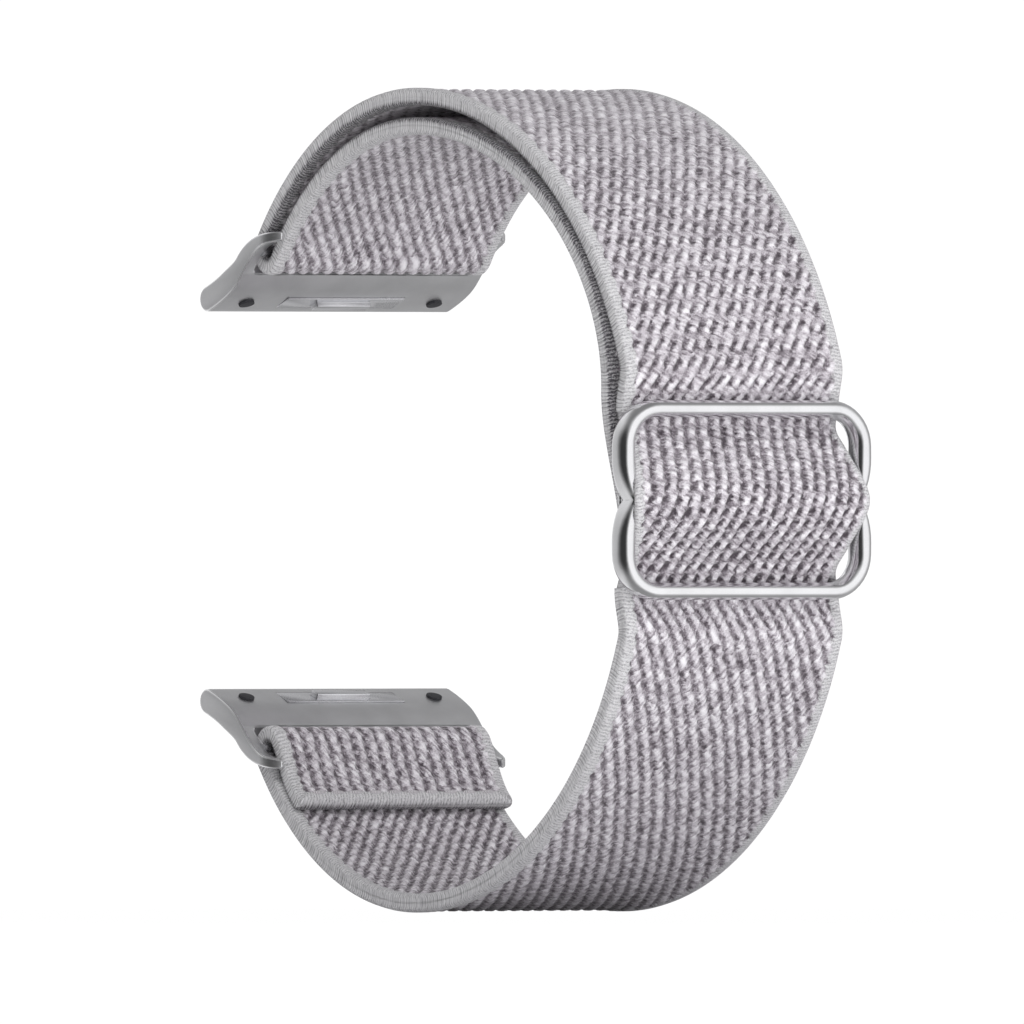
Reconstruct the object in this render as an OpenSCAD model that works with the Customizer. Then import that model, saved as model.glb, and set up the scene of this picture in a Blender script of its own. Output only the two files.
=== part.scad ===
// Stretch nylon watch strap with a sliding wire-frame buckle and two metal lug adapters.
// Frame: X runs across the strap, +Y runs from the watch to the buckle, +Z is up.
// The origin is midway between the two lug rails, at the seat of the watch.
// The side view is drawn in points [y, z], counted from the middle of the loop.

/* [Loop] */
// Distance from the line through both lug rails to the middle of the loop
seat_to_middle = 31; // [29:0.5:33]
// Radius of the loop's outer face
loop_r = 38.1; // [37.5:0.1:39]
// Clear space between the two layers at the top of the loop
layer_gap = 1.1; // [0.9:0.1:1.6]

/* [Webbing] */
// Width of the webbing
web_w = 24; // [20:0.5:26]
// Thickness of the webbing
web_t = 1.5; // [1.2:0.05:1.6]
// Thickness of the webbing where it is sewn round the buckle's centre bar
sewn_t = 1.2; // [1:0.05:1.3]
// Clear space between the folded end and the run that it is sewn to
fold_gap = 0.2; // [0.1:0.05:0.4]
// Length of the folded end past the lower crossbar
fold_l = 7.4; // [6:0.1:12]

/* [Buckle] */
// Width of the frame's side bars, outside the waist
frame_side = 1.75; // [1.5:0.05:2.5]
// Height of the buckle frame
frame_h = 18.4; // [17.6:0.1:20]
// Depth of the buckle frame, from its wrist side to its outer side
frame_d = 2.5; // [2:0.1:2.8]
// Width of the frame's top and bottom bars
frame_bar = 1.6; // [1.4:0.1:2]
// Depth of the notch at each side of the frame's waist
waist_notch = 1.25; // [1:0.05:1.35]
// Radius of the curve that leads into each notch
waist_r = 7; // [5:0.5:8]
// Radius of the frame's corners
frame_corner = 4.2; // [3.6:0.1:4.6]
// Diameter of the centre bar
centre_bar_d = 1.6; // [1.2:0.1:1.8]
// Depth of the centre bar's axis inside the loop's outer face
centre_bar_in = 1.9; // [1.6:0.1:2.1]
// Depth of the frame's wrist side inside the loop's outer face
frame_in = 2.3; // [2:0.1:2.5]

/* [Lug adapters] */
// Width of each of the adapter's cheeks, beside the slot
cheek_w = 1.25; // [1:0.05:2]
// Thickness of the lug rail
rail_t = 2.3; // [2.2:0.1:2.5]
// Thickness of the adapter's neck, between the rail and the crossbar
neck_t = 1.75; // [1.6:0.05:2.1]
// Thickness of each cheek's tip
tip_t = 0.85; // [0.7:0.05:1.2]
// Radius of each cheek tip's outer corner
tip_round = 2.4; // [1.6:0.1:3]
// Diameter of the crossbar that the webbing turns round
crossbar_d = 1; // [0.8:0.1:1.1]
// Distance from the middle of the loop to the crossbar, towards the watch
crossbar_y = 24.35; // [24:0.05:24.8]
// Height of the upper crossbar above the middle of the loop
crossbar_z = 23.2; // [22.8:0.1:23.6]

/* [Latches] */
// Length of the latch button along the rail
latch_l = 6; // [4:0.5:8]
// Width of the latch button
latch_w = 1.1; // [0.8:0.1:1.3]
// How far the latch button stands out of the rail
latch_out = 0.5; // [0.3:0.1:0.6]
// Length of the latch cover plate
cover_l = 13; // [11:0.5:15]
// Thickness of the latch cover plate
cover_t = 0.25; // [0.2:0.05:0.3]
// Thickness of the latch spring's leaf
leaf_t = 0.12; // [0.1:0.01:0.15]
// Diameter of each damping pad
pad_d = 1.5; // [1:0.1:1.8]
// How far each damping pad stands out of the rail
pad_out = 0.15; // [0.1:0.05:0.25]
// Distance between the two damping pads of a rail
pad_pitch = 21; // [19:0.5:23]

/* [Seams] */
// Length of one stitch
stitch_l = 1.5; // [1:0.1:1.8]
// Thickness of the sewing thread
thread_d = 0.3; // [0.2:0.05:0.4]
// Distance from stitch to stitch
stitch_pitch = 2.1; // [2:0.1:3]
// Distance from the webbing's sides to the nearest stitch
seam_side = 1.5; // [1:0.1:3]
// Distance from the folded end's edge to its seam
seam_in = 1; // [0.8:0.1:2]

/* [Fits] */
// Clearance between the webbing and a bar that it turns round
web_clear = 0.1; // [0.05:0.05:0.2]
// Clearance between the webbing and the sides of a slot or window
slot_clear = 0.25; // [0.2:0.05:0.4]
// Clearance between the gathered webbing and the window's round corners
corner_clear = 0.1; // [0.05:0.05:0.2]
// Clear space between the webbing and the wrist side of the buckle's top and bottom bars
dip_clear = 0.5; // [0.35:0.05:0.6]
// Clearance round the latch and other small metal pieces
fine_clear = 0.05; // [0.03:0.01:0.08]

/* [Hidden] */
$fn = 48;

// Colours
web_grey = [0.74, 0.71, 0.74];
thread_grey = [0.62, 0.59, 0.62];
steel = [0.80, 0.80, 0.81];
satin = [0.66, 0.66, 0.67];
dark_pad = [0.25, 0.25, 0.27];

// Steps of a long curve, a short curve and a round corner, and how far a cut reaches past its piece
long_steps = 60;
short_steps = 18;
corner_steps = 8;
over = 1;

// Middle of the webbing on the loop and in the turn round a crossbar
mid_r = loop_r - web_t / 2;
turn_in = crossbar_d / 2 + web_clear;
turn_mid = turn_in + web_t / 2;
turn_out = turn_in + web_t;
bar_at = [-crossbar_y, crossbar_z];

// Each layer's watch side is an arc that touches the top of the loop and the turn round the bar.
// The outer layer meets the turn's outer side and the inner layer meets its wrist side.
function arc_z(top, r) = ((top - r) * (top - r) - bar_at * bar_at) / (2 * (top - r - crossbar_z));
side_z = arc_z(loop_r, turn_out);
side_r = loop_r - side_z;
side_at = [0, side_z];
side_end = atan2(crossbar_z - side_z, -crossbar_y);
inner_top = loop_r - 2 * web_t - layer_gap;
inner_z = arc_z(inner_top, -turn_out);
inner_r = inner_top - inner_z;
inner_at = [0, inner_z];
inner_end = atan2(crossbar_z - inner_z, -crossbar_y);

// Angles on the loop, from the buckle's middle to the ends of the pass and of the slide zones
pass_end = 20;
zone_end = 65;

// Width of the buckle's window and of the adapters' slots
opening_w = web_w + 2 * slot_clear;

// Buckle sizes that follow
frame_w = opening_w + 2 * frame_side;
frame_back = loop_r - frame_in;
centre_bar_y = loop_r - centre_bar_in;
centre_bar_at = [centre_bar_y, 0];
centre_bar_short = 0.1;
window_h = frame_h - 2 * frame_bar;
window_corner = frame_corner - frame_bar;
bar_mid_z = (frame_h - frame_bar) / 2;
sewn_clear = web_clear / 2;
sewn_mid = centre_bar_d / 2 + sewn_clear + sewn_t / 2;
dip_y = frame_back - dip_clear;
hump_y = centre_bar_y + sewn_mid + sewn_t / 2 + web_clear + web_t;

// The webbing is gathered under the bars, so that it goes in between the window's round corners.
// It comes level with the frame's wrist side at the height enter_z.
enter_z = acos(2 * dip_clear / (hump_y - dip_y) - 1) / 180 * bar_mid_z;
gather_reach = 2.4;
function gathered(z) = exp(-pow((abs(z) - bar_mid_z) / gather_reach, 2));
function window_half(z) = opening_w / 2 - window_corner
    + sqrt(pow(window_corner, 2) - pow(max(0, z - window_h / 2 + window_corner), 2));
gather = (web_w / 2 - window_half(enter_z) + corner_clear) / gathered(enter_z);

// The slack of the inner layer: where it hands over to the sewn end and its angle there. The pulls
// of its curve, at the top and at the hand-over, are half the loop's radius less a fixed length, so
// that the two layers stay equally far apart in a larger loop.
slack_in = 3.85;
slack_up = 1.8;
slack_turn = 1.5;
top_short = 0.55;
hand_short = 7.75;
top_pull = loop_r / 2 - top_short;
hand_pull = loop_r / 2 - hand_short;
hand_over = centre_bar_at + [-slack_in, bar_mid_z + slack_up];
hand_dir = [-sin(slack_turn), -cos(slack_turn)];

// The sewn end's lean on the centre bar, its free edge as seen from the bar, the lean of that
// edge, the pulls of its curves and the place of its seam
bar_lean = 15;
edge_in = 1.4;
edge_up = 3.9;
edge_lean = 38;
down_pull = 3.4;
up_pull = 1.1;
edge_pull = 1.5;
sewn_seam_k = 0.29;

// Pull of the curve that leads the webbing under the buckle's bars
pass_pull = 1.7;

// Sizes inside a lug rail and its latch
rail_turn = 20;
rail_reach = 2;
face_z = -rail_t / 2;
flange_t = 0.35;
flange_end = 0.7;
flange_side = 0.25;
cover_seat = 0.35;
press_spare = 0.08;
leaf_end = 0.5;
leaf_side = 0.1;
pad_sink = 0.3;
pocket_l = latch_l + 2 * flange_end;
pocket_w = latch_w + 2 * flange_side;
cover_w = pocket_w + 2 * cover_seat;
spring_h = latch_out + leaf_t + press_spare;

// The adapter's side view as seen from its crossbar: how far back and down the rail's foot and the
// neck are, how far out and up the tip is, the angles of the neck and the tip, and the pulls of the
// curves between them
adapter_w = opening_w + 2 * cheek_w;
rail_back = 7.9;
rail_drop = 4.45;
neck_back = 2.15;
neck_drop = 1.1;
tip_reach = 3.55;
tip_rise = 1.4;
rail_foot = bar_at - [rail_back, rail_drop];
adapter_neck = bar_at - [neck_back, neck_drop];
adapter_tip = bar_at + [tip_reach, tip_rise];
neck_turn = 47;
tip_turn = 2;
rail_pull = 2.6;
neck_pull = 1.9;
tip_pull = 2.6;
thin_from = 0.25;
neck_at = 0.5;
cap_step = 15;

// The slot's relief for the inner layer, behind and below the crossbar, and the depth of its mouth
relief_back = 0.95;
relief_drop = 1.3;
relief_r = 1.3;
mouth_low = 0.2;
bar_sunk = 0.3;

// Space between a stitch and the webbing under it
stitch_clear = 0.02;

// General functions
function unit(v) = v / norm(v);
function left_of(v) = [-v[1], v[0]];
function on_arc(c, r, a) = c + r * [cos(a), sin(a)];
function mix(a, b, k) = a + (b - a) * k;
function smooth(k) = let (s = min(1, max(0, k))) s * s * (3 - 2 * s);
function bezier(p, k) = pow(1 - k, 3) * p[0] + 3 * k * pow(1 - k, 2) * p[1]
    + 3 * k * k * (1 - k) * p[2] + k * k * k * p[3];
function flip(p) = [p[0], -p[1]];

// Points along the middle of the webbing. Each stretch runs from k = 0 to k = 1.
function loop_pt(a) = on_arc([0, 0], mid_r, a);
function upper_run_pt(k) =
    k < 0.2 ? loop_pt(mix(zone_end, 90, k / 0.2))
    : k < 0.6 ? on_arc(side_at, side_r - web_t / 2, mix(90, side_end, (k - 0.2) / 0.4))
    : on_arc(bar_at, turn_mid, mix(side_end, inner_end + 180, (k - 0.6) / 0.4));
function lower_run_pt(k) = flip(
    k < 0.2 ? loop_pt(mix(zone_end, 90, k / 0.2))
    : k < 0.6 ? on_arc(side_at, side_r - web_t / 2, mix(90, side_end, (k - 0.2) / 0.4))
    : on_arc(bar_at, turn_mid, mix(side_end, side_end + 180, (k - 0.6) / 0.4)));

// The folded end leaves the turn and closes on the lower run
fold_from = side_r - turn_out - turn_mid;
fold_to = side_r - 1.5 * web_t - fold_gap;
fold_a = fold_l / fold_to * 180 / PI;
function lower_fold_pt(k) = flip(on_arc(side_at, mix(fold_from, fold_to, smooth(1.15 * k)),
    side_end - fold_a * k));

// The inner layer follows its own arc to the top and then a slack curve to the buckle
inner_top_mid = [0, inner_top + web_t / 2];
inner_curve = [inner_top_mid, inner_top_mid + [top_pull, 0], hand_over - hand_pull * hand_dir, hand_over];
function inner_layer_pt(k) =
    k < 0.5 ? on_arc(inner_at, inner_r + web_t / 2, mix(inner_end, 90, k / 0.5))
    : bezier(inner_curve, (k - 0.5) / 0.5);

// The sewn end goes down behind the centre bar, round it and back up between the layers
bar_side = [-sin(bar_lean), cos(bar_lean)];
sewn_tip = centre_bar_at + [-edge_in, edge_up];
sewn_tip_dir = [-sin(edge_lean), cos(edge_lean)];
sewn_in = on_arc(centre_bar_at, sewn_mid, 180 + bar_lean);
sewn_out = on_arc(centre_bar_at, sewn_mid, 360 + bar_lean);
sewn_down = [hand_over, hand_over + down_pull * hand_dir, sewn_in + down_pull * bar_side, sewn_in];
sewn_up = [sewn_out, sewn_out + up_pull * bar_side, sewn_tip - edge_pull * sewn_tip_dir, sewn_tip];
function sewn_end_pt(k) =
    k < 0.4 ? bezier(sewn_down, k / 0.4)
    : k < 0.75 ? on_arc(centre_bar_at, sewn_mid, mix(180, 360, (k - 0.4) / 0.35) + bar_lean)
    : bezier(sewn_up, (k - 0.75) / 0.25);
function sewn_end_t(k) = mix(web_t, sewn_t, smooth(k / 0.35));

// The run through the buckle dips under the top bar, rises over the centre bar and dips again
pass_out = loop_pt(pass_end) + web_t / 2 * [cos(pass_end), sin(pass_end)];
pass_lead = [[dip_y, bar_mid_z], [dip_y, bar_mid_z + pass_pull],
    pass_out + pass_pull * [sin(pass_end), -cos(pass_end)], pass_out];
function hump_pt(z) = [mix(dip_y, hump_y, (1 + cos(180 * z / bar_mid_z)) / 2), z];
function pass_face(k) =
    k < 0.2 ? bezier(pass_lead, 1 - k / 0.2)
    : k <= 0.8 ? hump_pt(mix(bar_mid_z, -bar_mid_z, (k - 0.2) / 0.6))
    : flip(bezier(pass_lead, (k - 0.8) / 0.2));

// Band that has a stretch of points in it, with its thickness to the left and to the right
function band(pts, dirs, t_a, t_b) = concat(
    [for (i = [0:len(pts) - 1]) pts[i] + left_of(dirs[i]) * t_a[i]],
    [for (i = [len(pts) - 1:-1:0]) pts[i] - left_of(dirs[i]) * t_b[i]]);
function spread(n) = [for (i = [0:n]) i / n];
function even(ks, t) = [for (k = ks) t];

// Direction of each stretch at k, from two points near it
step_k = 0.00001;
function upper_run_dir(k) = unit(upper_run_pt(k + step_k) - upper_run_pt(k - step_k));
function lower_run_dir(k) = unit(lower_run_pt(k + step_k) - lower_run_pt(k - step_k));
function loop_dir(a) = [-sin(a), cos(a)];
function lower_fold_dir(k) = unit(lower_fold_pt(k + step_k) - lower_fold_pt(k - step_k));
function inner_layer_dir(k) = unit(inner_layer_pt(min(1, k + step_k)) - inner_layer_pt(max(0, k - step_k)));
function sewn_end_dir(k) = unit(sewn_end_pt(min(1, k + step_k)) - sewn_end_pt(max(0, k - step_k)));
function pass_dir(k) = unit(pass_face(min(1, k + step_k)) - pass_face(max(0, k - step_k)));

// Half width of the webbing through the buckle, at a height z
function pass_half(z) = web_w / 2 - gather * gathered(z);

// Outline of a rectangle w wide from z0 to z1 with round corners
function corner(x, z, r, a) = [for (i = [0:corner_steps]) on_arc([x, z], r, a + 90 * i / corner_steps)];
function round_box(w, z0, z1, r) = concat(
    corner(w / 2 - r, z1 - r, r, 0), corner(-w / 2 + r, z1 - r, r, 90),
    corner(-w / 2 + r, z0 + r, r, 180), corner(w / 2 - r, z0 + r, r, 270));

// The right half of the frame's outline: a corner, the curve into the notch and both mirrored down
waist_z = sqrt(2 * waist_r * waist_notch - waist_notch * waist_notch);
waist_turn = asin(waist_z / waist_r);
frame_lobe = concat(
    [for (i = [0:corner_steps]) on_arc([frame_w / 2 - frame_corner, frame_h / 2 - frame_corner],
        frame_corner, 90 - 90 * i / corner_steps)],
    [for (i = [0:corner_steps]) on_arc([frame_w / 2 - waist_r, waist_z], waist_r,
        -waist_turn * i / corner_steps)]);
frame_right = concat(frame_lobe, [for (i = [len(frame_lobe) - 2:-1:0]) flip(frame_lobe[i])]);

// The adapter's side view: two curves from the rail over the neck to the tip, and its thickness
rail_dir = [cos(rail_turn), sin(rail_turn)];
neck_dir = [cos(neck_turn), sin(neck_turn)];
tip_dir = [cos(tip_turn), sin(tip_turn)];
adapter_low = [rail_foot, rail_foot + rail_pull * rail_dir, adapter_neck - neck_pull * neck_dir,
    adapter_neck];
adapter_high = [adapter_neck, adapter_neck + neck_pull * neck_dir, adapter_tip - tip_pull * tip_dir,
    adapter_tip];
function adapter_pt(k) = k < 0.5 ? bezier(adapter_low, k / 0.5) : bezier(adapter_high, (k - 0.5) / 0.5);
function adapter_dir(k) = unit(adapter_pt(min(1, k + step_k)) - adapter_pt(max(0, k - step_k)));
function adapter_t(k) =
    k < neck_at ? mix(rail_t, neck_t, smooth((k - thin_from) / (neck_at - thin_from)))
    : mix(neck_t, tip_t, smooth((k - neck_at) / (1 - neck_at)));
rail_cap = [for (a = [cap_step:cap_step:180 - cap_step]) on_arc(rail_foot, rail_t / 2, rail_turn + 90 + a)];

// Draws a side view across the strap, w wide
module across(w) {
    translate([0, seat_to_middle, 0])
        rotate([90, 0, 90])
            linear_extrude(height = w, center = true)
                children();
}

// Draws a front view in x and z, from y0 to y1 as counted from the middle of the loop
module facing(y0, y1) {
    translate([0, seat_to_middle + y1, 0])
        rotate([90, 0, 0])
            linear_extrude(height = y1 - y0)
                children();
}

// Moves to a point of the side view and turns to a direction in it
module at_side(p, a) {
    translate([0, seat_to_middle + p[0], p[1]])
        rotate([a, 0, 0])
            children();
}

// Webbing
module upper_run() {
    ks = spread(long_steps);
    color(web_grey) across(web_w)
        polygon(band([for (k = ks) upper_run_pt(k)], [for (k = ks) upper_run_dir(k)],
            even(ks, web_t / 2), even(ks, web_t / 2)));
}

module zone(from_a, to_a) {
    ks = spread(short_steps);
    color(web_grey) across(web_w)
        polygon(band([for (k = ks) loop_pt(mix(from_a, to_a, k))],
            [for (k = ks) loop_dir(mix(from_a, to_a, k))],
            even(ks, web_t / 2), even(ks, web_t / 2)));
}

module upper_slide_zone() {
    zone(pass_end, zone_end);
}

module lower_slide_zone() {
    zone(-zone_end, -pass_end);
}

module lower_run() {
    ks = spread(long_steps);
    color(web_grey) across(web_w)
        polygon(band([for (k = ks) lower_run_pt(k)], [for (k = ks) lower_run_dir(k)],
            even(ks, web_t / 2), even(ks, web_t / 2)));
}

module lower_fold() {
    ks = spread(short_steps);
    color(web_grey) across(web_w)
        polygon(band([for (k = ks) lower_fold_pt(k)], [for (k = ks) lower_fold_dir(k)],
            even(ks, web_t / 2), even(ks, web_t / 2)));
}

module inner_layer() {
    ks = spread(long_steps);
    color(web_grey) across(web_w)
        polygon(band([for (k = ks) inner_layer_pt(k)], [for (k = ks) inner_layer_dir(k)],
            even(ks, web_t / 2), even(ks, web_t / 2)));
}

module sewn_end() {
    ks = spread(long_steps);
    halves = [for (k = ks) sewn_end_t(k) / 2];
    color(web_grey) across(web_w)
        polygon(band([for (k = ks) sewn_end_pt(k)], [for (k = ks) sewn_end_dir(k)], halves, halves));
}

module buckle_pass() {
    ks = spread(long_steps);
    zs = [for (k = ks) mix(-1, 1, k) * (pass_out[1] + over)];
    color(web_grey) intersection() {
        across(web_w)
            polygon(band([for (k = ks) pass_face(k)], [for (k = ks) pass_dir(k)],
                even(ks, 0), even(ks, web_t)));
        facing(dip_y - 2 * web_t, hump_y + web_t)
            polygon(concat([for (z = zs) [pass_half(z), z]],
                [for (i = [len(zs) - 1:-1:0]) [-pass_half(zs[i]), zs[i]]]));
    }
}

// Row of stitches across the webbing
module stitch_row(p, d) {
    count = floor((web_w - 2 * seam_side - stitch_l) / stitch_pitch);
    for (i = [0:count])
        at_side(p, atan2(d[1], d[0]))
            translate([(i - count / 2) * stitch_pitch, 0, 0])
                cube([stitch_l, 2 * thread_d, thread_d], center = true);
}

module fold_seam() {
    k = 1 - seam_in / fold_l;
    d = lower_fold_dir(k);
    color(thread_grey)
        stitch_row(lower_fold_pt(k) + left_of(d) * (web_t / 2 + thread_d / 2 + stitch_clear), d);
}

module sewn_end_seam() {
    k = sewn_seam_k;
    d = sewn_end_dir(k);
    color(thread_grey)
        stitch_row(sewn_end_pt(k) - left_of(d) * (sewn_end_t(k) / 2 + thread_d / 2 + stitch_clear), d);
}

// Buckle
module buckle_frame() {
    color(steel) facing(frame_back, frame_back + frame_d) difference() {
        polygon(concat(frame_right, [for (i = [len(frame_right) - 1:-1:0])
            [-frame_right[i][0], frame_right[i][1]]]));
        polygon(round_box(opening_w, -window_h / 2, window_h / 2, window_corner));
    }
}

module buckle_centre_bar() {
    bar_l = frame_w - 2 * waist_notch - 2 * centre_bar_short;
    color(steel) translate([0, seat_to_middle + centre_bar_y, 0])
        rotate([0, 90, 0])
            cylinder(h = bar_l, d = centre_bar_d, center = true);
}

// Lug adapters. Everything is drawn for the upper one, and the lower one is its mirror image.
module rail_frame() {
    at_side(rail_foot + rail_reach * rail_dir, rail_turn)
        children();
}

// Plan of what is cut off a cheek tip's outer corner, seen from the middle of the round
tip_cut = concat(corner(0, 0, tip_round, 0),
    [[0, tip_round + over], [tip_round + over, tip_round + over], [tip_round + over, 0]]);

module adapter_body() {
    ks = spread(long_steps);
    outer = [for (k = ks) adapter_pt(k) + left_of(adapter_dir(k)) * adapter_t(k) / 2];
    inner = [for (k = ks) adapter_pt(1 - k) - left_of(adapter_dir(1 - k)) * adapter_t(1 - k) / 2];
    cap = [for (i = [len(rail_cap) - 1:-1:0]) rail_cap[i]];
    slot_r = turn_out + slot_clear;
    difference() {
        across(adapter_w) polygon(concat(outer, inner, cap));
        across(opening_w) {
            translate(bar_at) circle(r = slot_r);
            translate(bar_at - [relief_back, relief_drop]) circle(r = relief_r);
            translate(bar_at - [0, mouth_low])
                square([adapter_tip[0] - bar_at[0] + over, slot_r + mouth_low]);
        }
        translate([0, seat_to_middle + adapter_tip[0] - tip_round, adapter_tip[1]])
            linear_extrude(height = 2 * tip_round, center = true)
                for (side = [-1, 1])
                    polygon([for (p = tip_cut) [side * (adapter_w / 2 - tip_round + p[0]), p[1]]]);
        rail_frame() {
            translate([-cover_l / 2 - fine_clear, -cover_w / 2 - fine_clear, face_z - over])
                cube([cover_l + 2 * fine_clear, cover_w + 2 * fine_clear, over + cover_t]);
            translate([-pocket_l / 2, -pocket_w / 2, face_z])
                cube([pocket_l, pocket_w, cover_t + fine_clear + flange_t + spring_h]);
            for (x = [-1, 1])
                translate([x * pad_pitch / 2, 0, face_z - over])
                    cylinder(h = over + pad_sink, d = pad_d);
        }
    }
    translate([0, seat_to_middle + bar_at[0], bar_at[1]])
        rotate([0, 90, 0])
            cylinder(h = opening_w + 2 * bar_sunk, d = crossbar_d, center = true);
}

module latch() {
    rail_frame() {
        translate([-latch_l / 2, -latch_w / 2, face_z - latch_out])
            cube([latch_l, latch_w, latch_out + cover_t + fine_clear + flange_t]);
        translate([-pocket_l / 2 + fine_clear, -pocket_w / 2 + fine_clear, face_z + cover_t + fine_clear])
            cube([pocket_l - 2 * fine_clear, pocket_w - 2 * fine_clear, flange_t]);
    }
}

module latch_spring() {
    half_l = pocket_l / 2 - leaf_end;
    leaf_w = latch_w - 2 * leaf_side;
    rise = spring_h - leaf_t;
    xs = [for (k = spread(short_steps)) mix(-1, 1, k)];
    rail_frame()
        translate([0, leaf_w / 2, face_z + cover_t + fine_clear + flange_t])
            rotate([90, 0, 0])
                linear_extrude(height = leaf_w)
                    polygon(concat([for (x = xs) [x * half_l, rise * x * x]],
                        [for (x = xs) [-x * half_l, rise * x * x + leaf_t]]));
}

module latch_cover() {
    rail_frame()
        difference() {
            translate([-cover_l / 2, -cover_w / 2, face_z])
                cube([cover_l, cover_w, cover_t]);
            translate([-latch_l / 2 - fine_clear, -latch_w / 2 - fine_clear, face_z - over])
                cube([latch_l + 2 * fine_clear, latch_w + 2 * fine_clear, 2 * over + cover_t]);
        }
}

module rail_pads() {
    rail_frame()
        for (x = [-1, 1])
            translate([x * pad_pitch / 2, 0, face_z - pad_out])
                cylinder(h = pad_out + pad_sink, d = pad_d);
}

module upper_adapter() {
    color(satin) adapter_body();
}

module upper_latch() {
    color(steel) latch();
}

module upper_latch_spring() {
    color(steel) latch_spring();
}

module upper_latch_cover() {
    color(satin) latch_cover();
}

module upper_rail_pads() {
    color(dark_pad) rail_pads();
}

module lower_adapter() {
    color(satin) mirror([0, 0, 1]) adapter_body();
}

module lower_latch() {
    color(steel) mirror([0, 0, 1]) latch();
}

module lower_latch_spring() {
    color(steel) mirror([0, 0, 1]) latch_spring();
}

module lower_latch_cover() {
    color(satin) mirror([0, 0, 1]) latch_cover();
}

module lower_rail_pads() {
    color(dark_pad) mirror([0, 0, 1]) rail_pads();
}

upper_run();
upper_slide_zone();
buckle_pass();
lower_slide_zone();
lower_run();
lower_fold();
inner_layer();
sewn_end();
fold_seam();
sewn_end_seam();
buckle_frame();
buckle_centre_bar();
upper_adapter();
upper_latch();
upper_latch_spring();
upper_latch_cover();
upper_rail_pads();
lower_adapter();
lower_latch();
lower_latch_spring();
lower_latch_cover();
lower_rail_pads();
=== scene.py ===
# %% [markdown]
# # A stretch nylon watch strap
# The strap is a loop of ribbed elastic tape, a polished wire frame that slides along it, and two
# satin metal adapters that hang from the watch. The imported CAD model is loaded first, and every
# piece below is made in its frame: metres, +X across the strap, +Y towards the buckle, +Z up.

# %% Load the frame
import math
from collections import namedtuple
import bpy
import numpy as np
from mathutils import Matrix, Vector


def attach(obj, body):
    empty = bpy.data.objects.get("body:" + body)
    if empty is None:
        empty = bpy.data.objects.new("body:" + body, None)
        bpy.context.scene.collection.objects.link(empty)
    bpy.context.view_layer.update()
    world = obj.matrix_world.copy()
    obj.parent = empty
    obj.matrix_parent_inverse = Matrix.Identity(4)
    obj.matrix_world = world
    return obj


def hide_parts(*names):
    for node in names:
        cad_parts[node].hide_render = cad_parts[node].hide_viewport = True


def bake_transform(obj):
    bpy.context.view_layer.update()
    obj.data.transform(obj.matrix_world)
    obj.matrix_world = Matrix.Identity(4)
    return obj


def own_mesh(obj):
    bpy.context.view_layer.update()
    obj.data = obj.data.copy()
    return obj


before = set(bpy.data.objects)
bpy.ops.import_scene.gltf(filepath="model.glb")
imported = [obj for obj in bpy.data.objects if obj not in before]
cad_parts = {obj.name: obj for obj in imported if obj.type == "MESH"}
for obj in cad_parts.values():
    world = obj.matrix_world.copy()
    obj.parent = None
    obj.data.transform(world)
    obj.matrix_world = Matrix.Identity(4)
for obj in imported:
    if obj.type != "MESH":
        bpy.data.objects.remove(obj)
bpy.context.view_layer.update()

# %% [markdown]
# ## Camera
# The photograph is taken level with the strap, 34 degrees round from the buckle's side, with so
# long a lens that parallel lines stay parallel. A camera 4.2 m away gives the same view.

# %% Camera
SEAT_TO_MIDDLE = 31.0
MM = 0.001
VIEW = Vector((0.555, 0.832, 0.0)).normalized()
AIM = Vector((0.0, 29.9, -1.1)) * MM
CAMERA_DISTANCE = 4.2
PHOTO_WIDTH_PX, PHOTO_PX_PER_MM = 1024, 10.77
SENSOR_MM = 36

camera_data = bpy.data.cameras.new("camera")
camera_data.sensor_width = SENSOR_MM
camera_data.lens = SENSOR_MM * CAMERA_DISTANCE / (PHOTO_WIDTH_PX / PHOTO_PX_PER_MM * MM)
camera_data.clip_start, camera_data.clip_end = 0.1, 20
camera = bpy.data.objects.new("camera", camera_data)
bpy.context.scene.collection.objects.link(camera)
camera.location = AIM + VIEW * CAMERA_DISTANCE
camera.rotation_mode = "QUATERNION"
camera.rotation_quaternion = (-VIEW).to_track_quat("-Z", "Y")
bpy.context.scene.camera = camera
print("lens", round(camera_data.lens, 1), "mm")

# %% [markdown]
# ## Shader maths
# A weave is a sum: ribs, beads and fibres. One small class wraps a number in a material, so that
# the sum can be written as Python, and the same formula can also shape the mesh.

# %% A number in a material
class Num:
    """A number socket of a material. Python's operators add Math nodes."""

    def __init__(self, tree, socket):
        self.tree, self.socket = tree, socket

    def math(self, operation, *others, turned=False):
        node = self.tree.nodes.new("ShaderNodeMath")
        node.operation = operation
        values = [self, *others]
        if turned:
            values = [others[0], self]
        for place, value in zip(node.inputs, values):
            if isinstance(value, Num):
                self.tree.links.new(value.socket, place)
            else:
                place.default_value = value
        return Num(self.tree, node.outputs[0])

    def __add__(self, other):
        return self.math("ADD", other)

    def __sub__(self, other):
        return self.math("SUBTRACT", other)

    def __mul__(self, other):
        return self.math("MULTIPLY", other)

    def __truediv__(self, other):
        return self.math("DIVIDE", other)

    def __rsub__(self, other):
        return self.math("SUBTRACT", other, turned=True)

    def __neg__(self):
        return self.math("MULTIPLY", -1.0)

    __radd__, __rmul__ = __add__, __mul__


def cosine(value):
    return value.math("COSINE") if isinstance(value, Num) else np.cos(value)


def floor(value):
    return value.math("FLOOR") if isinstance(value, Num) else np.floor(value)


def ease(value, low, high):
    """0 below low, 1 above high and a smooth step between them."""
    share = (value - low) / (high - low)
    if isinstance(share, Num):
        share = share.math("MINIMUM", 1.0).math("MAXIMUM", 0.0)
    else:
        share = np.clip(share, 0.0, 1.0)
    return share * share * (3.0 - share * 2.0)


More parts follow.
